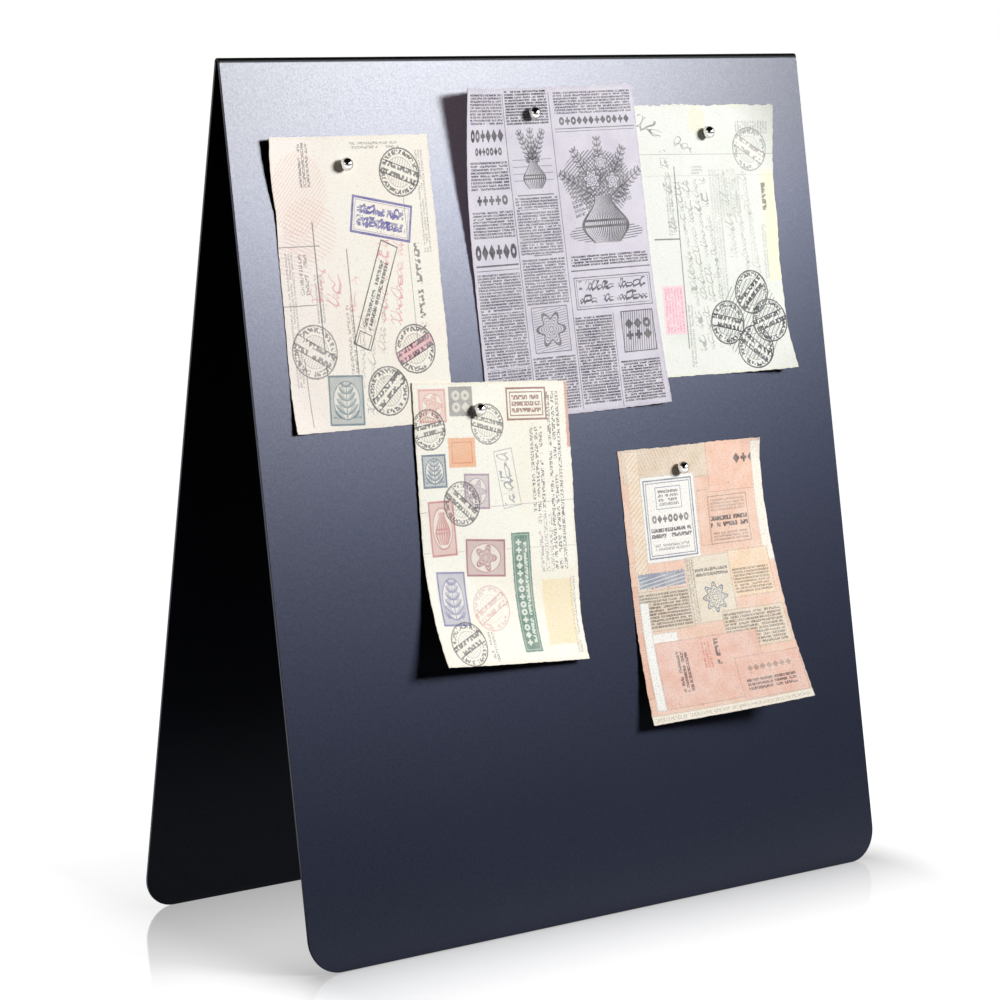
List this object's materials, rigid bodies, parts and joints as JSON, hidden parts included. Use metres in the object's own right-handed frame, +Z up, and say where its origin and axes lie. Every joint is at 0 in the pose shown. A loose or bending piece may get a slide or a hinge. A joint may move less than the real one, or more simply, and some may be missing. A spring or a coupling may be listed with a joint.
{
  "type": "magnetic board with stand",
  "caption": "Folded steel board that stands by itself as a tent, with paper cards held on its front by ball magnets.",
  "frame": {"origin": "on the table, midway between the two standing edges and midway along the board", "axes": "+Z up, +X along the fold to the right as seen from the front, -Y towards the front panel with the cards"},
  "size_m": [0.38, 0.1675, 0.442],
  "materials": {
    "board_coating": "satin blue-black powder coat with a fine grain",
    "postal_card_paper": "matte printed card, cream and peach",
    "news_sheet_paper": "matte printed newsprint, grey-lilac",
    "ledger_form_paper": "matte printed paper, pale green-cream",
    "stamp_card_paper": "matte printed card, cream",
    "collage_card_paper": "matte printed card, salmon patchwork",
    "magnet_steel": "polished nickel-plated ball"
  },
  "bodies": {
    "board": {"folded_board": "board_coating"},
    "postal_card": {"postal_card": "postal_card_paper"},
    "postal_magnet": {"postal_magnet": "magnet_steel"},
    "news_sheet": {"news_sheet": "news_sheet_paper"},
    "news_magnet": {"news_magnet": "magnet_steel"},
    "ledger_form": {"ledger_form": "ledger_form_paper"},
    "ledger_magnet": {"ledger_magnet": "magnet_steel"},
    "stamp_card": {"stamp_card": "stamp_card_paper"},
    "stamp_magnet": {"stamp_magnet": "magnet_steel"},
    "collage_card": {"collage_card": "collage_card_paper"},
    "collage_magnet": {"collage_magnet": "magnet_steel"}
  },
  "joints": [
    {"name": "postal_card_swing", "type": "hinge", "parent": "board", "child": "postal_card", "pos_m": [-0.1235, -0.01078, 0.38907], "axis": [0, -0.9856, 0.1693], "range_deg": [-8, 8]},
    {"name": "postal_magnet_pull", "type": "slide", "parent": "postal_card", "child": "postal_magnet", "axis": [0, -0.9856, 0.1693], "range_m": [0, 0.04]},
    {"name": "news_sheet_swing", "type": "hinge", "parent": "board", "child": "news_sheet", "pos_m": [-0.00209, -0.00685, 0.41195], "axis": [0, -0.9856, 0.1693], "range_deg": [-6, 6]},
    {"name": "news_magnet_pull", "type": "slide", "parent": "news_sheet", "child": "news_magnet", "axis": [0, -0.9856, 0.1693], "range_m": [0, 0.04]},
    {"name": "ledger_form_swing", "type": "hinge", "parent": "board", "child": "ledger_form", "pos_m": [0.11666, -0.00893, 0.39985], "axis": [0, -0.9856, 0.1693], "range_deg": [-8, 8]},
    {"name": "ledger_magnet_pull", "type": "slide", "parent": "ledger_form", "child": "ledger_magnet", "axis": [0, -0.9856, 0.1693], "range_m": [0, 0.04]},
    {"name": "stamp_card_swing", "type": "hinge", "parent": "board", "child": "stamp_card", "pos_m": [-0.057, -0.03226, 0.26409], "axis": [0, -0.9856, 0.1693], "range_deg": [-6, 12]},
    {"name": "stamp_magnet_pull", "type": "slide", "parent": "stamp_card", "child": "stamp_magnet", "axis": [0, -0.9856, 0.1693], "range_m": [0, 0.04]},
    {"name": "collage_card_swing", "type": "hinge", "parent": "board", "child": "collage_card", "pos_m": [0.07486, -0.03914, 0.22404], "axis": [0, -0.9856, 0.1693], "range_deg": [-8, 8]},
    {"name": "collage_magnet_pull", "type": "slide", "parent": "collage_card", "child": "collage_magnet", "axis": [0, -0.9856, 0.1693], "range_m": [0, 0.04]}
  ]
}
